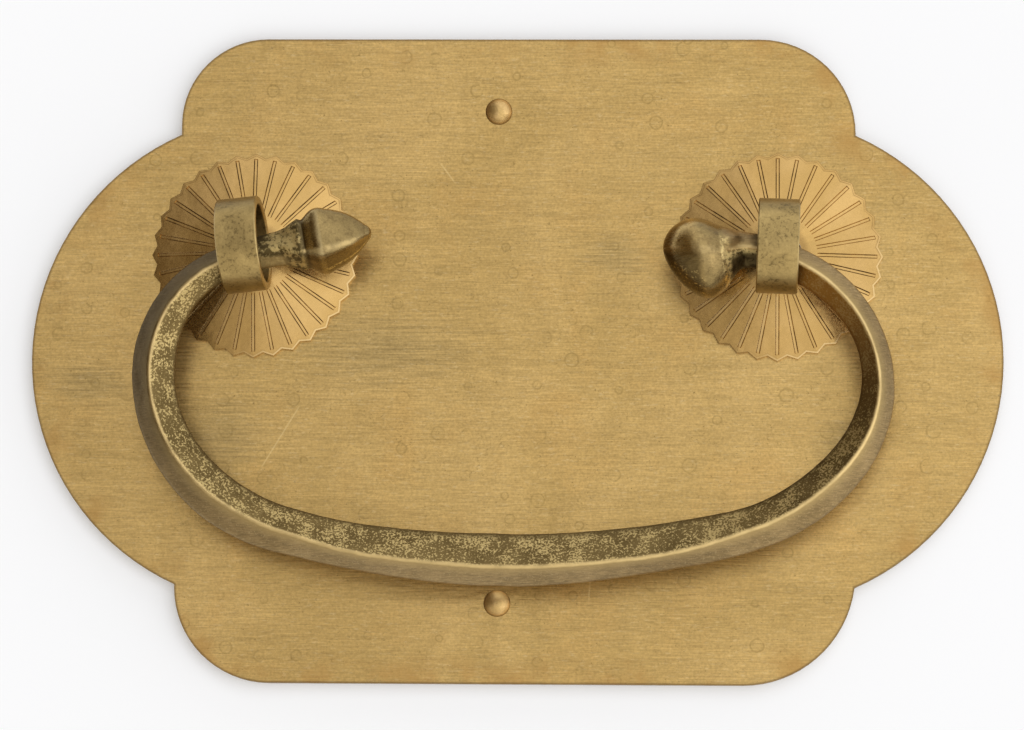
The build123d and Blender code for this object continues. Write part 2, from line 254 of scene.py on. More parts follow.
def plate_look():
    """Brushed sheet brass with soft tarnished patches that also paint the shade below the left rosette and
    bud, ring stains, specks, a few scratches, browning near the edge and a thin dark line along it.
    """
    look = Look("plate_brass_brushed")
    x, _, z = look.split()
    brush = look.noise(look.place((0.11, 1, 3.0)), 1.0, 4, 0.6)
    fine_brush = look.noise(look.place((0.3, 1, 7.5)), 1.0, 3, 0.6)
    long_brush = look.noise(look.place((0.02, 1, 0.6)), 1.0, 4, 0.6)
    cloud = look.noise(look.mm, 0.04, 4, 0.55, 0.6)
    warm = look.noise(look.place(shift=(40, 0, 15)), 0.07, 4, 0.6, 0.5)
    grain = look.noise(look.mm, 2.4, 4, 0.65)

    gold = look.mix(look.step(cloud, 0.35, 0.68), (0.482, 0.32, 0.113), (0.545, 0.365, 0.135))
    gold = look.mix(look.step(warm, 0.5, 0.72, 0, 0.45), gold, (0.54, 0.334, 0.11))

    # Tarnished patches, which also paint the shade below the left rosette and bud: middle across and up,
    # half width and half height
    patches = ((-20, 1.5, 18, 7.5), (15.5, 16, 7, 4), (-67, -4, 8, 5), (-46, -12, 8, 9), (52, -14, 7, 8))
    tarnish_and_shade = 0.0
    for at_x, at_z, wide, high in patches:
        off = look.vector("LENGTH", look.place((1 / wide, 0, 1 / high), 0, (-at_x / wide, 0, -at_z / high)))
        off = look.math("MULTIPLY_ADD", brush, 0.9, off)
        tarnish_and_shade = look.math("MAXIMUM", tarnish_and_shade, look.step(off, 0.55, 1.5, 0.58, 0))
    # painted shade: these patches also darken the plate below the left rosette and bud
    gold = look.mix(tarnish_and_shade, gold, (0.37, 0.26, 0.105))
    contrast = look.math("MULTIPLY_ADD", tarnish_and_shade, 0.16, 0.1)
    lines = look.math("MULTIPLY_ADD", look.step(brush, 0.25, 0.75, -1, 1), contrast, 1.0)
    gold = look.shade(gold, lines)
    gold = look.shade(gold, look.step(fine_brush, 0.25, 0.75, 0.86, 1.12))
    gold = look.shade(gold, look.step(long_brush, 0.3, 0.7, 0.96, 1.035))
    gold = look.shade(gold, look.step(grain, 0.25, 0.75, 0.82, 1.14))
    glint = look.step(look.noise(look.place((0.8, 1, 3.0)), 1.0, 3, 0.7), 0.54, 0.74, 0, 0.28)
    gold = look.mix(glint, gold, (0.78, 0.61, 0.34))

    away, chosen, size = look.spots(x, z, 5.5)
    wobble = look.noise(look.mm, 0.9, 2)
    ring_radius = look.math("MULTIPLY_ADD", size, 0.6, 0.75)
    off_ring = look.math("SUBTRACT", look.math("MULTIPLY_ADD", wobble, 0.5, away), ring_radius)
    faint = look.step(look.noise(look.mm, 0.35, 2), 0.36, 0.56, 0.25, 1)
    chosen = look.times(look.step(chosen, 0.56, 0.58), faint)
    ring = look.times(look.step(look.math("ABSOLUTE", off_ring), 0.05, 0.2, 0.42, 0), chosen)
    gold = look.mix(ring, gold, (0.26, 0.17, 0.055))
    gold = look.mix(look.times(look.step(off_ring, -0.1, 0.05, 0.1, 0), chosen), gold, (0.36, 0.25, 0.09))

    patchy = look.step(look.noise(look.mm, 0.11, 3), 0.38, 0.62, 0.2, 1)
    curls = look.step(look.noise(look.mm, 1.25, 4, 0.75), 0.6, 0.68, 0, 0.6)
    gold = look.mix(look.times(curls, patchy), gold, (0.25, 0.165, 0.055))
    dots = look.step(look.noise(look.mm, 2.6, 1), 0.7, 0.76, 0, 0.6)
    gold = look.mix(dots, gold, (0.17, 0.105, 0.035))

    # Scratches: the two ends, across and up
    scratches = (
        ((-33.5, -7.0), (-39.9, -17.6)),
        ((12.0, -32.5), (11.6, -38.5)),
        ((-9.5, 27.5), (-12.5, 31.5)),
    )
    for start, end in scratches:
        along = Vector((end[0] - start[0], end[1] - start[1]))
        unit = along.normalized()
        from_x = look.math("SUBTRACT", x, start[0])
        from_z = look.math("SUBTRACT", z, start[1])
        run = look.math("ADD", look.times(from_x, unit.x), look.times(from_z, unit.y))
        off = look.math("SUBTRACT", look.times(from_x, unit.y), look.times(from_z, unit.x))
        line = look.times(look.step(look.math("ABSOLUTE", off), 0.04, 0.18, 0.4, 0), look.step(run, 0, 1.5),
                          look.step(run, along.length - 1.5, along.length, 1, 0))
        gold = look.mix(line, gold, (0.78, 0.58, 0.27))

    inside = inside_edge(look, x, z)
    browned = look.step(look.noise(look.mm, 0.11, 4, 0.6), 0.46, 0.66)
    browned = look.times(browned, look.step(inside, 0.5, 6.0, 0.6, 0))
    gold = look.mix(browned, gold, (0.42, 0.235, 0.07))
    gold = look.mix(look.step(inside, 0.1, 0.45, 0.65, 0), gold, (0.13, 0.08, 0.035))

    normal = look.bump(brush, 0.03, 0.4)
    normal = look.bump(cloud, 1.2, 0.2, normal)
    return look.finish(gold, look.step(brush, 0.2, 0.8, 0.25, 0.33), normal)


def rosette_look(side):
    """Satin petals with thin lines along the grooves: dark with dirt and painted shade, or at the lower left
    painted bright as lit groove walls and floors. The rim has painted shade above and a painted highlight at
    the lower right, and the left one's lower-left petals are painted darker.
    """
    look = Look("rosette_brass_" + side)
    x, _, z = look.split()
    from_x = look.math("SUBTRACT", x, EYE_X[side])
    from_z = look.math("SUBTRACT", z, EYE_Z)
    radius = look.length(from_x, from_z)
    turn = look.math("ARCTAN2", from_x, look.times(from_z, -1.0))
    tooth = look.times(turn, TEETH / math.tau)
    petal = look.math("FLOOR", look.math("ADD", tooth, TEETH))
    off_tooth = look.math("SUBTRACT", tooth, look.math("ROUND", tooth))
    off_groove = look.times(look.math("ABSOLUTE", off_tooth), math.tau / TEETH, radius)
    wobble = look.noise(look.mm, 1.1, 3)
    off_groove = look.math("MULTIPLY_ADD", wobble, 0.06, look.math("SUBTRACT", off_groove, 0.03))

    grain = look.noise(look.mm, 3.2, 4, 0.65)
    cloud = look.noise(look.mm, 0.16, 3, 0.5)
    each = look.node("ShaderNodeTexWhiteNoise", noise_dimensions="1D")
    look.put(each.inputs["W"], petal)
    colour = look.mix(look.step(cloud, 0.35, 0.7), (0.52, 0.328, 0.112), (0.575, 0.37, 0.138))
    colour = look.shade(colour, look.step(each.outputs["Value"], 0, 1, 0.93, 1.06))
    colour = look.shade(colour, look.step(grain, 0.25, 0.75, 0.92, 1.07))
    reach = TIP_RADIUS[side] - 0.9
    in_reach = look.times(look.step(radius, 6.2, 6.9), look.step(radius, reach, reach - 0.4))
    wall = look.times(look.step(off_groove, 0.12, 0.19), look.step(off_groove, 0.27, 0.37, 1, 0))
    uneven = look.step(look.noise(look.mm, 0.5, 3), 0.32, 0.62, 0.25, 0.85)
    low_left = look.math("DIVIDE", look.math("ADD", from_x, from_z), look.math("MAXIMUM", radius, 1.0))
    # painted highlight: in the lower-left sector the grooves get a lit wall on one side and a bright floor
    rubbed_and_lit = look.step(low_left, -1.1, -0.5, 1, 0)
    bright_wall = look.times(look.math("LESS_THAN", off_tooth, 0.0), rubbed_and_lit)
    dark_wall = look.rest(bright_wall)
    if side == "right":
        # painted light: the right rosette's upper-right sector has fainter dark groove lines
        high_right = look.math("ADD", look.times(from_x, 0.8), look.times(from_z, 0.6))
        worn_and_lit = look.step(look.math("DIVIDE", high_right, radius), 0.72, 0.95)
        dark_wall = look.times(dark_wall, look.rest(look.times(worn_and_lit, 0.75)))
    # dark groove walls: dirt and painted shade
    colour = look.mix(look.times(wall, in_reach, uneven, dark_wall), colour, (0.09, 0.045, 0.013))
    # painted highlight: bright groove floors and lit walls in the lower-left sector
    floor = look.times(look.step(off_groove, 0.05, 0.16, 0.3, 0), in_reach, rubbed_and_lit)
    floor = look.math("MAXIMUM", floor, look.times(wall, in_reach, bright_wall))
    colour = look.mix(floor, colour, (0.78, 0.57, 0.28))

    inset = look.math("SUBTRACT", TIP_RADIUS[side], radius)
    inset = look.math("MULTIPLY_ADD", look.math("ABSOLUTE", off_tooth), -1.5, inset)
    # painted shade: a dark line inside the rim's upper side
    upper = look.step(from_z, -4, 4, 0.15, 0.6)
    line = look.times(look.step(inset, 0.22, 0.32), look.step(inset, 0.38, 0.5, 1, 0), upper, uneven)
    colour = look.mix(line, colour, (0.16, 0.085, 0.028))
    # painted highlight on the rim at the lower right, and painted shade along the rest of the rim
    low_right = look.math("DIVIDE", look.math("SUBTRACT", from_x, from_z), look.math("MAXIMUM", radius, 1.0))
    lit_rim = look.times(look.step(inset, 0.2, 0.3, 1, 0), look.step(low_right, 0.6, 1.2, 0, 0.5))
    colour = look.mix(lit_rim, colour, (0.78, 0.58, 0.3))
    shaded_rim = look.times(look.step(inset, 0.06, 0.2, 1, 0), look.step(low_right, 0.4, 1.0, 0.6, 0))
    colour = look.mix(shaded_rim, colour, (0.2, 0.115, 0.04))
    # painted shade: the left rosette's lower-left petals are darkened
    if side == "left":
        colour = look.mix(look.step(low_left, -1.15, -0.75, 0.45, 0), colour, (0.3, 0.175, 0.05))
    speck = look.step(look.noise(look.mm, 2.4, 3, 0.7), 0.66, 0.74, 0, 0.35)
    colour = look.mix(speck, colour, (0.22, 0.12, 0.045))
    colour = look.mix(look.step(radius, 5.4, 4.2, 0, 0.5), colour, (0.2, 0.115, 0.04))

    normal = look.bump(grain, 0.05, 0.1)
    normal = look.bump(cloud, 0.8, 0.2, normal)
    return look.finish(colour, look.step(grain, 0.3, 0.7, 0.22, 0.3), normal)


def strap_look(side, turn, lean):
    """Olive satin strap, smooth and mottled, with thin edges paled by wear and painted bright as a
    highlight, and painted shade on its top and bottom.
    """
    look = Look("strap_brass_" + side)
    bend, slant = math.radians(turn), math.radians(lean)
    from_eye = look.vector("SUBTRACT", look.mm, (EYE_X[side], -PLATE_THICKNESS / 2, EYE_Z))
    crossways = (math.cos(bend) * math.cos(slant), -math.cos(bend) * math.sin(slant), -math.sin(bend))
    across = look.vector("DOT_PRODUCT", from_eye, crossways)
    cloud = look.noise(look.mm, 0.25, 3, 0.5, 0.3)
    grain = look.noise(look.mm, 2.8, 4, 0.6)
    rub = look.noise(look.place((4, 4, 0.35)), 1.0, 4, 0.6)
    colour = look.mix(look.step(cloud, 0.36, 0.66), (0.345, 0.246, 0.096), (0.456, 0.328, 0.131))
    colour = look.shade(colour, look.step(grain, 0.25, 0.75, 0.9, 1.07))
    colour = look.shade(colour, look.step(rub, 0.3, 0.7, 0.95, 1.05))
    smudge = look.step(look.noise(look.mm, 1.9, 4, 0.7), 0.49, 0.66)
    smudge = look.times(smudge, look.step(cloud, 0.45, 0.62, 0.75, 0.15))
    colour = look.mix(smudge, colour, (0.13, 0.09, 0.036))
    from_middle = look.math("ABSOLUTE", across)
    # painted highlight: the strap's thin edges are painted bright, partly as wear
    worn_lit_edge = look.step(from_middle, STRAP_HALF_WIDTH - 0.25, STRAP_HALF_WIDTH - 0.05, 0, 0.45)
    colour = look.mix(worn_lit_edge, colour, (0.6, 0.45, 0.2))
    _, _, z = look.split()
    high = look.math("SUBTRACT", z, EYE_Z)
    # painted shade: darker towards the top and bottom of the strap's curve
    colour = look.shade(colour, look.step(high, 3.0, 6.8, 1, 0.68))
    colour = look.shade(colour, look.step(high, -6.9, -5.0, 0.75, 1))
    normal = look.bump(grain, 0.04, 0.15)
    normal = look.bump(cloud, 0.5, 0.25, normal)
    return look.finish(colour, look.step(cloud, 0.3, 0.7, 0.32, 0.4), normal)


def nail_look():
    """Hammered satin brass, darker where it meets the plate."""
    look = Look("nail_brass_satin")
    _, y, _ = look.split()
    cloud = look.noise(look.mm, 0.7, 3)
    grain = look.noise(look.mm, 3.0, 4, 0.6)
    colour = look.mix(look.step(cloud, 0.35, 0.65), (0.58, 0.395, 0.158), (0.67, 0.46, 0.2))
    colour = look.shade(colour, look.step(grain, 0.3, 0.7, 0.9, 1.06))
    colour = look.mix(look.step(y, -1.7, -1.25, 0, 0.7), colour, (0.15, 0.085, 0.03))
    normal = look.bump(cloud, 0.35, 0.3, look.bump(grain, 0.04, 0.3))
    return look.finish(colour, 0.5, normal)


def bar_colour(look, marks, cloud, grain, scuff, fleck):
    """The bar's scuffed brown outer face and flecked inner face, and the share that is inner face."""
    ridge, face, run = marks["ridge_mm"], marks["face"], marks["run_mm"]
    outer = look.mix(look.step(cloud, 0.35, 0.7), (0.25, 0.172, 0.076), (0.325, 0.227, 0.104))
    outer = look.shade(outer, look.step(scuff, 0.25, 0.75, 0.7, 1.25))
    outer = look.mix(look.step(grain, 0.52, 0.7, 0, 0.45), outer, (0.52, 0.39, 0.2))
    outer = look.mix(look.step(ridge, -2.3, -0.2, 0, 0.6), outer, (0.45, 0.32, 0.13))
    # painted shade: the outer face towards the left arm is darkened
    outer = look.shade(outer, look.step(run, -78, -38, 0.42, 1.0))

    cluster = look.step(look.noise(look.mm, 0.36, 3, 0.5), 0.36, 0.66, 0.57, 0.45)
    gilt = look.step(look.math("SUBTRACT", fleck, cluster), -0.01, 0.07)
    gilt = look.times(gilt, look.step(face, 0.72, 0.97, 0.9, 0.1), look.step(run, 55, 85, 1, 0.22))
    inner = look.mix(look.step(cloud, 0.35, 0.65), (0.135, 0.092, 0.034), (0.2, 0.14, 0.054))
    inner = look.mix(look.step(face, 0.7, 1.0, 0, 0.5), inner, (0.085, 0.058, 0.024))
    inner = look.mix(look.step(run, 60, 90, 0, 0.92), inner, (0.29, 0.135, 0.024))
    gold = look.mix(look.noise(look.mm, 4.0, 2), (0.47, 0.35, 0.142), (0.7, 0.545, 0.25))
    inner = look.mix(gilt, inner, gold)
    is_inner = look.step(look.math("MULTIPLY_ADD", grain, 0.3, ridge), 0.1, 0.3)
    return look.mix(is_inner, outer, inner), is_inner


def neck_colour(look, marks, crust, left, right):
    """Crusted brown and gold, paled by wear on the left neck's underside, with painted shade on the right
    one's.
    """
    face, bud_mm = marks["face"], marks["bud_mm"]
    patch = look.step(look.noise(look.mm, 0.45, 3, 0.5), 0.38, 0.62, 0.1, -0.08)
    crusted = look.step(look.math("SUBTRACT", crust, patch), 0.4, 0.6)
    neck = look.mix(crusted, (0.12, 0.086, 0.034), (0.55, 0.42, 0.18))
    rubbed_and_lit = look.times(look.step(face, 0.3, 0.5), look.step(bud_mm, 1.0, 3.0, 0.8, 0), left)
    neck = look.mix(rubbed_and_lit, neck, (0.38, 0.27, 0.11))
    # painted shade: the right neck's underside is painted nearly black
    underside = look.times(look.step(face, 0.15, 0.35, 0, 0.85), right)
    return look.mix(underside, neck, (0.05, 0.034, 0.014))


def bud_colour(look, marks, cloud, grain, crust, fleck, left, right):
    """Smooth stained buds, with edges paled by wear on the left one; the right one has painted shade on its
    lower front and flank, a crown painted lighter, and specks on its dark front.
    """
    face, bud_mm = marks["face"], marks["bud_mm"]
    smooth = look.mix(look.step(cloud, 0.35, 0.68), (0.25, 0.176, 0.072), (0.345, 0.246, 0.1))
    smooth = look.shade(smooth, look.step(grain, 0.25, 0.75, 0.82, 1.12))
    stain = look.step(look.noise(look.mm, 0.9, 4, 0.7), 0.5, 0.66, 0, 0.55)
    smooth = look.mix(stain, smooth, (0.15, 0.1, 0.042))
    uneven = look.step(look.noise(look.mm, 0.5, 3), 0.35, 0.6, 0.3, 1)
    crest = look.times(look.step(marks["edge_mm"], 0.1, 0.9, 0.35, 0), uneven)
    smooth = look.mix(crest, smooth, (0.56, 0.42, 0.2))
    shoulder = look.times(look.step(look.off(bud_mm, 7.3), 0.15, 0.7, 0.5, 0), left)
    smooth = look.mix(shoulder, smooth, (0.56, 0.43, 0.21))
    smooth = look.shade(smooth, look.step(marks["run_mm"], -1, 1, 0.94, 1.3))

    # painted shade: the right bud's lower front is painted dark
    lower = look.times(look.step(face, -0.15, 0.3), right, look.step(bud_mm, 7.6, 8.8, 0, 0.75))
    smooth = look.mix(lower, smooth, (0.1, 0.068, 0.026))
    # painted shade: the right bud's flank, away from the front, is darkened
    away = look.step(look.math("ABSOLUTE", face), 0.1, 0.4, 0.08, 0.35)
    flank = look.times(right, away, look.step(bud_mm, 7.0, 8.4, 1, 0))
    smooth = look.shade(smooth, look.rest(flank))
    # painted light: the right bud's crown is lightened
    crown = look.times(right, look.step(bud_mm, 7.8, 8.8), look.step(face, -0.05, 0.25, 0.35, 0))
    smooth = look.shade(smooth, look.math("ADD", 1.0, crown))
    specks = look.times(look.step(crust, 0.56, 0.64, 0, 0.85), look.step(bud_mm, 7.4, 8.2))
    specks = look.times(specks, look.step(face, 0.25, 0.45), right)
    smooth = look.mix(specks, smooth, (0.66, 0.48, 0.19))
    seam = look.times(look.step(look.off(face, 0.64), 0.02, 0.07, 1, 0), left)
    seam = look.times(seam, look.step(bud_mm, 6.5, 8.0), look.step(fleck, 0.46, 0.56))
    return look.mix(seam, smooth, (0.66, 0.52, 0.25))


def gold_beads(look, marks, crust):
    """Share of bright beads round the start of a bud and along the front of its neck."""
    face, bud_mm = marks["face"], marks["bud_mm"]
    round_bud = look.times(look.step(look.off(bud_mm, 4.0), 0.4, 0.9, 1, 0), look.step(face, -0.45, -0.15))
    on_neck = look.times(look.step(bud_mm, 0.1, 0.6), look.step(bud_mm, 4.6, 5.0, 1, 0))
    along_neck = look.times(look.step(look.off(face, 0.08), 0.05, 0.1, 1, 0), on_neck)
    broken = look.step(crust, 0.44, 0.54, 0.15, 0.85)
    return look.times(look.math("MAXIMUM", round_bud, along_neck), broken)


def bail_look():
    """Cast brass: a scuffed and flecked bar with a ridge paled by wear and painted as a highlight, pitted
    necks and smooth buds.
    """
    look = Look("bail_brass_cast")
    marks = {name: look.attribute(name) for name in MARKS}
    face, bud_mm = marks["face"], marks["bud_mm"]
    left = look.step(marks["run_mm"], 0, -1)
    right = look.step(marks["run_mm"], 0, 1)
    cloud = look.noise(look.mm, 0.13, 4, 0.6)
    grain = look.noise(look.mm, 3.2, 4, 0.65)
    scuff = look.noise(look.place((0.7, 0.7, 6), 38), 1.0, 4, 0.6)
    fleck = look.noise(look.mm, 3.1, 3, 0.65)
    crust = look.noise(look.mm, 1.7, 4, 0.7)

    colour, is_inner = bar_colour(look, marks, cloud, grain, scuff, fleck)
    smooth_top = look.times(look.step(face, 0.0, 0.12, 1, 0), right)
    pit = look.times(marks["pitted"], look.rest(smooth_top))
    colour = look.mix(pit, colour, neck_colour(look, marks, crust, left, right))
    bud = look.step(look.math("MULTIPLY_ADD", right, 0.9, bud_mm), 4.7, 5.3)
    colour = look.mix(bud, colour, bud_colour(look, marks, cloud, grain, crust, fleck, left, right))
    crease = look.times(look.step(look.off(bud_mm, 5.0), 0.15, 0.8, 0.7, 0), look.rest(right))
    colour = look.mix(crease, colour, (0.07, 0.05, 0.022))
    colour = look.mix(look.times(gold_beads(look, marks, crust), right), colour, (0.72, 0.55, 0.24))

    on_bar = look.rest(look.math("MAXIMUM", bud, pit))
    # painted highlight: the ridge is painted bright gold, partly as wear
    off_ridge = look.math("SUBTRACT", marks["ridge_mm"], 0.25)
    worn_and_lit = look.math("MULTIPLY_ADD", look.noise(look.mm, 0.4, 3), 0.5, off_ridge)
    worn_and_lit = look.step(look.math("ABSOLUTE", worn_and_lit), 0.08, 0.5, 0.85, 0)
    worn_and_lit = look.times(worn_and_lit, on_bar, look.step(look.noise(look.mm, 0.3, 3), 0.3, 0.55, 0.55, 1))
    colour = look.mix(worn_and_lit, colour, (0.7, 0.52, 0.24))

    cast = look.times(look.math("MAXIMUM", is_inner, pit), look.rest(bud))
    roughness = look.math("MULTIPLY_ADD", cast, 0.1, look.step(scuff, 0.3, 0.7, 0.36, 0.44))
    roughness = look.math("MULTIPLY_ADD", bud, -0.12, roughness)
    normal = look.bump(fleck, 0.1, look.math("MULTIPLY_ADD", cast, 0.4, 0.12))
    normal = look.bump(scuff, 0.04, 0.3, normal)
    normal = look.bump(look.noise(look.mm, 0.45, 2, 0.4), 0.5, look.times(bud, 0.2), normal)
    normal = look.bump(cloud, 0.9, 0.25, normal)
    return look.finish(colour, roughness, normal)


def polar(centre, radius, angle):
    turn = math.radians(angle)
    return Vector((centre[0] + radius * math.cos(turn), centre[1] + radius * math.sin(turn)))


def blend(a, b, share):
    """Value that leaves a and reaches b levelly as the share goes from 0 to 1."""
    share = min(max(share, 0.0), 1.0)
    return a + (b - a) * (1 - math.cos(math.pi * share)) / 2


def ease(run, knots):
    """Value at this distance along the bail, level at each knot of distance and value."""
    for (start, before), (end, after) in zip(knots, knots[1:]):
        if run <= end:
            return blend(before, after, (run - start) / (end - start))
    return knots[-1][1]


def corner_curve(before, corner, after, cut, count):
    """Points of a rounding that starts and ends at this distance from a corner."""
    first = corner + (before - corner).normalized() * cut
    last = corner + (after - corner).normalized() * cut
    points = []
    for index in range(count + 1):
        t = index / count
        points.append(first * (1 - t) ** 2 + corner * 2 * t * (1 - t) + last * t**2)
    return points


def kite_ring(outer, inner, ridge, depth):
    """Section of the bar with rounded corners, from the ridge to the inner edge, back and outer edge."""
    corners = [Vector((ridge, depth / 2)), Vector((inner, 0)), Vector((0, -depth / 2)), Vector((outer, 0))]
    roundings = [RIDGE_ROUNDING, EDGE_ROUNDING, EDGE_ROUNDING, EDGE_ROUNDING]
    ring = []
    for index, corner in enumerate(corners):
        following = (index + 1) % len(corners)
        after = corners[following]
        ring += corner_curve(corners[index - 1], corner, after, roundings[index], ROUNDING_STEPS)
        start = ring[-1]
        end = after + (corner - after).normalized() * roundings[following]
        ring += [start.lerp(end, share / FLAT_STEPS) for share in range(1, FLAT_STEPS)]
    return ring


def bail_half(eye_x, overhang, slope, outer, inner, ridge):
    """Sections of half the bail, drawn on the right, from the middle of the grip to the bud.
    Outer edge, inner edge and ridge are lists of distance along the bail and offset from its centre line."""
    half_span = eye_x + overhang
    neck = polar((eye_x, PIVOT_Z), -NECK_RADIUS, 90 - slope)
    neck_end = math.degrees(math.acos((eye_x + NECK_REACH - neck.x) / NECK_RADIUS))
    neck_start = math.degrees(math.acos((eye_x - NECK_REACH - neck.x) / NECK_RADIUS))
    share = math.cos(math.radians(neck_end))
    shoulder_radius = (half_span - neck.x - NECK_RADIUS * share) / (1 - share)
    shoulder = polar(neck, NECK_RADIUS - shoulder_radius, neck_end)
    bottom = PIVOT_Z - BAIL_DROP
    sag = bottom - shoulder.y
    bend_radius = -(half_span**2 + sag**2 + 2 * sag * GRIP_RADIUS) / (2 * (GRIP_RADIUS - half_span))
    bend = Vector((half_span - bend_radius, shoulder.y))
    grip = Vector((0, bottom + GRIP_RADIUS))
    grip_end = math.degrees(math.atan2(bend.x, grip.y - bend.y)) - 90
    arcs = [
        (grip, GRIP_RADIUS, -90, grip_end),
        (bend, bend_radius, grip_end, 0),
        (shoulder, shoulder_radius, 0, neck_end),
        (neck, NECK_RADIUS, neck_end, neck_start),
    ]
    path, ends, run = [], [], 0.0
    for centre, radius, first, last in arcs:
        length = radius * math.radians(last - first)
        count = max(2, round(length / ROW_SPACING))
        for index in range(count):
            angle = first + (last - first) * index / count
            path.append((polar(centre, radius, angle), angle, run + length * index / count))
        run += length
        ends.append(run)
    path.append((polar(neck, NECK_RADIUS, neck_start), neck_start, run))

    _, arm_run, shoulder_run, bud_run = ends
    outer = outer + [(bud_run, NECK_HALF)]
    inner = inner + [(shoulder_run, -NECK_HALF)]
    ridge = ridge + [(shoulder_run, 0)]
    depth = [(0, GRIP_DEPTH), (arm_run, ARM_DEPTH), (bud_run, 2 * NECK_HALF)]
    pit_start, pit_fade = bud_run - 4.5, 3.0
    rows = []
    for at, angle, along in path:
        rows.append({
            "at": at, "angle": angle, "run": along, "skew": 0.0, "bud_mm": NOT_ON_BUD,
            "ring": kite_ring(*(ease(along, knots) for knots in (outer, inner, ridge, depth))),
            "pit": blend(0, 1, (along - pit_start) / pit_fade),
        })
    return rows


def pointed_profile():
    """Distance along the left bud's axis and half width: collar, crease, crest and a pointed crown."""
    length, tip_radius, crown_swell = 16.7, 1.6, 2.2
    crease, crest, tip = Vector((4.95, 3.95)), Vector((7.4, 6.0)), Vector((length, 0))
    collar_run, collar_flare, collar_step = 4.6, 1.3, 0.34
    arc = (collar_run**2 + collar_flare**2) / (2 * collar_flare)
    points = []
    for index in range(11):
        t = BUD_START + collar_step * index
        points.append(Vector((t, COLLAR_START_HALF + arc - math.sqrt(arc**2 - t**2))))
    points += corner_curve(points[-1], crease, crest, 0.25, 3)
    points += corner_curve(crease, crest, tip, 1.7, 9)

    lean = math.atan2(crest.y, length - crest.x)
    outward = Vector((math.sin(lean), math.cos(lean)))
    centre = length - tip_radius / math.sin(lean)
    crown_start = points[-1]
    crown_end = Vector((centre, 0)) + outward * tip_radius
    for index in range(1, 20):
        share = index / 20
        points.append(crown_start.lerp(crown_end, share) + outward * crown_swell * share * (1 - share))
    for index in range(9):
        spot = polar((centre, 0), tip_radius, (90 - math.degrees(lean)) * (1 - index / 8))
        points.append(Vector((spot.x, max(spot.y, POINT_HALF))))
    return points


def blunt_profile():
    """The same for the right bud, which is worn round: a flaring neck and a blunt crown."""
    crest, length, fullness = BLUNT_CREST, 6.1, 1.15
    flare_steps, crown_steps = 23, 24
    points = []
    for index in range(flare_steps + 1):
        share = index / flare_steps
        along = BUD_START + (crest.x - BUD_START) * share
        points.append(Vector((along, blend(COLLAR_START_HALF, crest.y, share))))
    for index in range(1, crown_steps + 1):
        turn = math.pi / 2 * index / crown_steps
        ahead, half = math.sin(turn) ** fullness, max(math.cos(turn), 0.0) ** fullness
        points.append(Vector((crest.x + length * ahead, max(crest.y * half, POINT_HALF))))
    return points


def bud_rows(base, profile, facets, tilt, roll, drop=0.0, sag=0.0, skew=0.0):
    """Sections of an acorn bud on the end of the neck, drawn on the right.
    Sag moves its belly to the inner side, and skew leans its sections."""
    roll_run, shape_run, settle_run = 4.6, 3.5, 5.0
    pit_end, pit_fade = 4.3, 0.8
    heading = base["angle"] + 90 - tilt
    neck_ring = kite_ring(NECK_HALF, -NECK_HALF, 0, 2 * NECK_HALF)
    rows = []
    for t, half in profile:
        spin = Matrix.Rotation(math.radians(roll * blend(0, 1, t / roll_run)), 2)
        settled = blend(0, 1, t / settle_run)
        ring = []
        for spot in neck_ring:
            c, s = spot.normalized()
            reach = ROUND_REACH
            if facets:
                spans = (c, s, (c + s) / FACET_SPAN, (c - s) / FACET_SPAN)
                reach = sum(abs(span) ** FACET_SHARPNESS for span in spans) ** (-1 / FACET_SHARPNESS)
            square = spot / NECK_HALF
            acorn = Vector((c, s)) * reach
            ring.append(spin @ (square.lerp(acorn, blend(0, 1, t / shape_run)) * half))
        belly = max(half - NECK_HALF, 0)
        if t > BLUNT_CREST.x:
            belly = BLUNT_TIP_SAG + (BLUNT_CREST.y - NECK_HALF - BLUNT_TIP_SAG) * half / BLUNT_CREST.y
        at = base["at"] + polar((0, 0), t, heading) - Vector((0, drop * settled))
        at -= polar((0, 0), sag * belly, heading - 90)
        rows.append({
            "at": at, "angle": heading - 90, "run": base["run"] + t, "skew": skew * settled, "bud_mm": t,
            "ring": ring, "pit": blend(1, 0, (t - pit_end) / pit_fade),
        })
    return rows


def bail_rows(side):
    """All sections of one half of the bail, from the middle of the grip to the bud's tip."""
    if side == "left":
        rows = bail_half(
            -EYE_X["left"], overhang=15.0, slope=15.5,
            outer=[(0, 4.2), (44, 2.95), (71, 3.1)],
            inner=[(0, -4.75), (25, -4.55), (45, -5.5), (71, -4.4)],
            ridge=[(0, 1.15), (20, 0.85), (44, -0.95), (71, -0.25)],
        )
        bud = bud_rows(rows[-1], pointed_profile(), facets=True, tilt=3.4, roll=25.0)
    else:
        rows = bail_half(
            EYE_X["right"], overhang=15.2, slope=19.5,
            outer=[(0, 4.2), (28, 3.25), (48, 2.1), (69, 3.1)],
            inner=[(0, -4.7), (33, -4.8), (47, -5.6), (76, -2.4)],
            ridge=[(0, 1.15), (20, 0.9), (48, -1.4), (70, 0.35)],
        )
        bud = bud_rows(
            rows[-1], blunt_profile(), facets=False, tilt=-9.0, roll=-4.0, drop=0.55, sag=0.33, skew=0.2
        )
    rows = [row for row in rows if row["run"] < rows[-1]["run"] - BUD_START] + bud
    for row in rows:
        turn = math.radians(row["angle"])
        row["out"] = Vector((math.cos(turn), math.sin(turn)))
        if side == "left":
            row["at"] = Vector((-row["at"].x, row["at"].y))
            row["out"].x *= -1
            row["run"] *= -1
    return rows


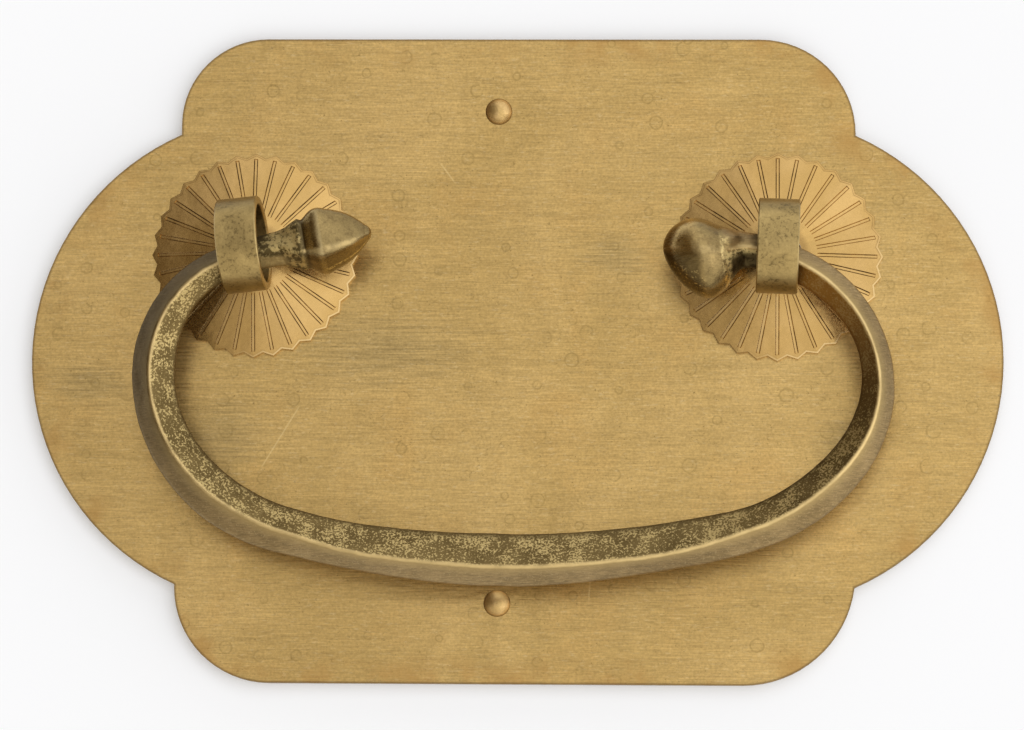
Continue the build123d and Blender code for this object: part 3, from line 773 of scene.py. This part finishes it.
def ring_marks(ring):
    """Signed distance from the front ridge, share of the face's width and distance from the nearest edge."""
    count = len(ring)
    ridge, inner, back, outer = (count // 4 * index + ROUNDING_STEPS // 2 for index in range(4))
    length = [(ring[(i + 1) % count] - ring[i]).length for i in range(count)]
    forward = [0.0] * count
    for step in range(1, count):
        index = (ridge + step) % count
        forward[index] = forward[index - 1] + length[index - 1]
    total = sum(length)
    inner_edge, outer_edge = forward[inner], total - forward[outer]
    marks = []
    for index in range(count):
        ahead, behind = forward[index], total - forward[index]
        on_inner = ridge <= index < back
        distance = ahead if on_inner else -behind
        face = ahead / inner_edge if on_inner else -behind / outer_edge
        edge = min(abs(forward[index] - forward[corner]) for corner in (ridge, inner, back, outer))
        marks.append((distance, face, min(edge, behind)))
    return marks


def make_bail():
    """The bail as one fine mesh: bar, necks and buds, with hand-finished unevenness."""
    rows = bail_rows("left")[:0:-1] + bail_rows("right")
    around = len(rows[0]["ring"])
    marks = {name: [] for name in MARKS}
    vertices, faces = [], []
    for row in rows:
        for (u, v), (distance, face, edge) in zip(row["ring"], ring_marks(row["ring"])):
            flat = row["at"] + row["out"] * u + row["out"].orthogonal() * u * row["skew"]
            spot = Vector((flat.x, EYE_Y - v, flat.y))
            away = Vector((row["out"].x * u, -v, row["out"].y * u))
            waves = 0.06 * noise.noise(spot * 0.22)
            pits = (0.04 + 0.09 * row["pit"]) * noise.noise(spot * 0.75)
            if away.length > 0.3:
                spot += away.normalized() * (waves + pits - 0.04)
            vertices.append(spot * MM)
            values = (distance, face, edge, row["run"], row["bud_mm"], row["pit"])
            for name, value in zip(MARKS, values):
                marks[name].append(value)
    for row in range(len(rows) - 1):
        for index in range(around):
            a = row * around + index
            b = row * around + (index + 1) % around
            faces.append((a, a + around, b + around, b))
    faces.append(tuple(range(around)))
    faces.append(tuple(range(len(vertices) - 1, len(vertices) - 1 - around, -1)))
    mesh = bpy.data.meshes.new("bail_cast")
    mesh.from_pydata(vertices, [], faces)
    for name, values in marks.items():
        mesh.attributes.new(name, "FLOAT", "POINT").data.foreach_set("value", values)
    mesh.polygons.foreach_set("use_smooth", [True] * len(mesh.polygons))
    mesh.update()
    bail = bpy.data.objects.new("bail_cast", mesh)
    bpy.context.scene.collection.objects.link(bail)
    return bail


def dress(name, material):
    slots = nodes[name].data.materials
    slots.clear()
    slots.append(material)


def plate_reach(turn, inset):
    """Millimetres from the plate's centre, at an angle, to a line this far inside its outline."""
    near, far = 0.0, PLATE_HALF_WIDTH
    for _ in range(30):
        middle = (near + far) / 2
        x, z = abs(middle * math.cos(turn)), abs(middle * math.sin(turn))
        lobe = LOBE_RADIUS - math.hypot(x - PLATE_HALF_WIDTH + LOBE_RADIUS, z)
        corner_x = max(x - BAND_HALF_WIDTH + CORNER_RADIUS, 0)
        corner_z = max(z - PLATE_HALF_HEIGHT + CORNER_RADIUS, 0)
        band = CORNER_RADIUS - math.hypot(corner_x, corner_z)
        if max(lobe, band) > inset:
            near = middle
        else:
            far = middle
    return near


def combine(tree, operation, a, b):
    """Output of a math node on a socket and another socket or number."""
    made = tree.nodes.new("ShaderNodeMath")
    made.operation = operation
    tree.links.new(a, made.inputs[0])
    if isinstance(b, bpy.types.NodeSocket):
        tree.links.new(b, made.inputs[1])
    else:
        made.inputs[1].default_value = b
    return made.outputs[0]


def board_material():
    """White that glows a little where it is seen, and is clear for the camera from behind."""
    material = bpy.data.materials.new("board_white")
    material.use_nodes = True
    tree = material.node_tree
    shader = tree.nodes["Principled BSDF"]
    shader.inputs["Base Color"].default_value = (0.75, 0.765, 0.795, 1)
    shader.inputs["Roughness"].default_value = 0.9
    shader.inputs["Specular IOR Level"].default_value = 0.0
    shader.inputs["Emission Color"].default_value = (0.985, 0.99, 1.0, 1)
    path = tree.nodes.new("ShaderNodeLightPath").outputs
    seen = combine(tree, "MAXIMUM", path["Is Camera Ray"], path["Is Glossy Ray"])
    seen = combine(tree, "MAXIMUM", seen, path["Is Transmission Ray"])
    tree.links.new(combine(tree, "MULTIPLY", seen, BOARD_GLOW), shader.inputs["Emission Strength"])

    backfacing = tree.nodes.new("ShaderNodeNewGeometry").outputs["Backfacing"]
    choose = tree.nodes.new("ShaderNodeMixShader")
    tree.links.new(combine(tree, "MULTIPLY", backfacing, path["Is Camera Ray"]), choose.inputs[0])
    tree.links.new(shader.outputs[0], choose.inputs[1])
    tree.links.new(tree.nodes.new("ShaderNodeBsdfTransparent").outputs[0], choose.inputs[2])
    tree.links.new(choose.outputs[0], tree.nodes["Material Output"].inputs[0])
    return material


def make_board():
    """Pale board just behind the plate, open where the plate covers it and not seen from behind."""
    count = 256
    turns = [math.tau * index / count for index in range(count)]
    hole, rim = [], []
    for turn in turns:
        outward = Vector((math.cos(turn), 0, math.sin(turn)))
        depth = Vector((0, BOARD_Y, 0))
        hole.append((outward * plate_reach(turn, BOARD_OVERLAP) + depth) * MM)
        rim.append((outward * BOARD_RADIUS + depth) * MM)
    faces = [(i, count + i, count + (i + 1) % count, (i + 1) % count) for i in range(count)]
    mesh = bpy.data.meshes.new("board")
    mesh.from_pydata(hole + rim, [], faces)
    mesh.materials.append(board_material())
    board = bpy.data.objects.new("board", mesh)
    bpy.context.scene.collection.objects.link(board)


def make_light():
    """Even studio light: bright from the right with a soft box in it, warm and dim from the left,
    and a pale bounce from below."""
    world = bpy.data.worlds.new("studio")
    bpy.context.scene.world = world
    world.use_nodes = True
    tree = world.node_tree
    tree.nodes.clear()
    coord = tree.nodes.new("ShaderNodeTexCoord").outputs["Generated"]
    plain_level = 1.38

    def spread(value, low, high, at_low, at_high, kind="SMOOTHSTEP"):
        made = tree.nodes.new("ShaderNodeMapRange")
        made.interpolation_type = kind
        for key, given in zip(("From Min", "From Max", "To Min", "To Max"), (low, high, at_low, at_high)):
            made.inputs[key].default_value = given
        tree.links.new(value, made.inputs["Value"])
        return made.outputs[0]

    def towards(*direction):
        made = tree.nodes.new("ShaderNodeVectorMath")
        made.operation = "DOT_PRODUCT"
        made.inputs[1].default_value = Vector(direction).normalized()
        tree.links.new(coord, made.inputs[0])
        return made.outputs["Value"]

    ramp = tree.nodes.new("ShaderNodeValToRGB")
    ramp.color_ramp.interpolation = "EASE"
    stops = ramp.color_ramp.elements
    stops[0].position, stops[0].color = 0.19, (0.105, 0.072, 0.034, 1)
    stops[1].position, stops[1].color = 0.625, (1, 1, 1, 1)
    for place, level in ((0.8, 0.93), (1.0, 0.72)):
        stops.new(place).color = (level, level, level, 1)
    tree.links.new(spread(towards(0.97, 0, 0.15), -1, 1, 0, 1, "LINEAR"), ramp.inputs[0])

    bounce = tree.nodes.new("ShaderNodeMix")
    bounce.data_type = "RGBA"
    tree.links.new(spread(towards(0, 0, -1), 0.15, 0.5, 0.0, 0.55), bounce.inputs[0])
    tree.links.new(ramp.outputs[0], bounce.inputs[6])
    bounce.inputs[7].default_value = (0.9, 0.87, 0.8, 1)

    soft_box = spread(towards(0.88, -0.45, -0.15), 0.88, 0.97, 0.0, 1.0)
    lit = tree.nodes.new("ShaderNodeBackground")
    tree.links.new(bounce.outputs[2], lit.inputs["Color"])
    tree.links.new(combine(tree, "ADD", soft_box, plain_level), lit.inputs["Strength"])

    seen = tree.nodes.new("ShaderNodeBackground")
    seen.inputs["Color"].default_value = (0.93, 0.93, 0.945, 1)
    tree.links.new(spread(towards(0, 1, 0), 0.4, 0.5, 1.0, 0.02), seen.inputs["Strength"])
    choose = tree.nodes.new("ShaderNodeMixShader")
    tree.links.new(tree.nodes.new("ShaderNodeLightPath").outputs["Is Camera Ray"], choose.inputs[0])
    tree.links.new(lit.outputs[0], choose.inputs[1])
    tree.links.new(seen.outputs[0], choose.inputs[2])
    tree.links.new(choose.outputs[0], tree.nodes.new("ShaderNodeOutputWorld").inputs[0])


def make_camera():
    """The photograph's view: a long lens from slightly below and to the right, turned a little."""
    turn, rise, roll = math.radians(2.49), math.radians(-7.39), math.radians(0.508)
    back = Vector((math.sin(turn) * math.cos(rise), -math.cos(turn) * math.cos(rise), math.sin(rise)))
    data = bpy.data.cameras.new("camera")
    data.sensor_width = SENSOR_WIDTH
    data.lens = FOCAL_PIXELS * SENSOR_WIDTH / PHOTO_WIDTH
    data.shift_x = SHIFT_PIXELS[0] / PHOTO_WIDTH
    data.shift_y = SHIFT_PIXELS[1] / PHOTO_WIDTH
    data.clip_start = 0.01
    camera = bpy.data.objects.new("camera", data)
    camera.location = Vector((0, -PLATE_THICKNESS * MM, 0)) + back * CAMERA_DISTANCE
    camera.rotation_mode = "QUATERNION"
    camera.rotation_quaternion = (-back).to_track_quat("-Z", "Y") @ Quaternion((0, 0, 1), roll)
    bpy.context.scene.collection.objects.link(camera)
    bpy.context.scene.camera = camera


dress("backplate", plate_look())
dress("rosette_left", rosette_look("left"))
dress("rosette_right", rosette_look("right"))
dress("cotter_left", strap_look("left", turn=-6.0, lean=4.0))
dress("cotter_right", strap_look("right", turn=2.0, lean=0.0))
nail_material = nail_look()
dress("nail_top", nail_material)
dress("nail_bottom", nail_material)

bail = make_bail()
bail.data.materials.append(bail_look())
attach(bail, "bail")
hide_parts("bail_handle")

make_board()
make_light()
make_camera()
bpy.context.scene.view_settings.view_transform = "Standard"
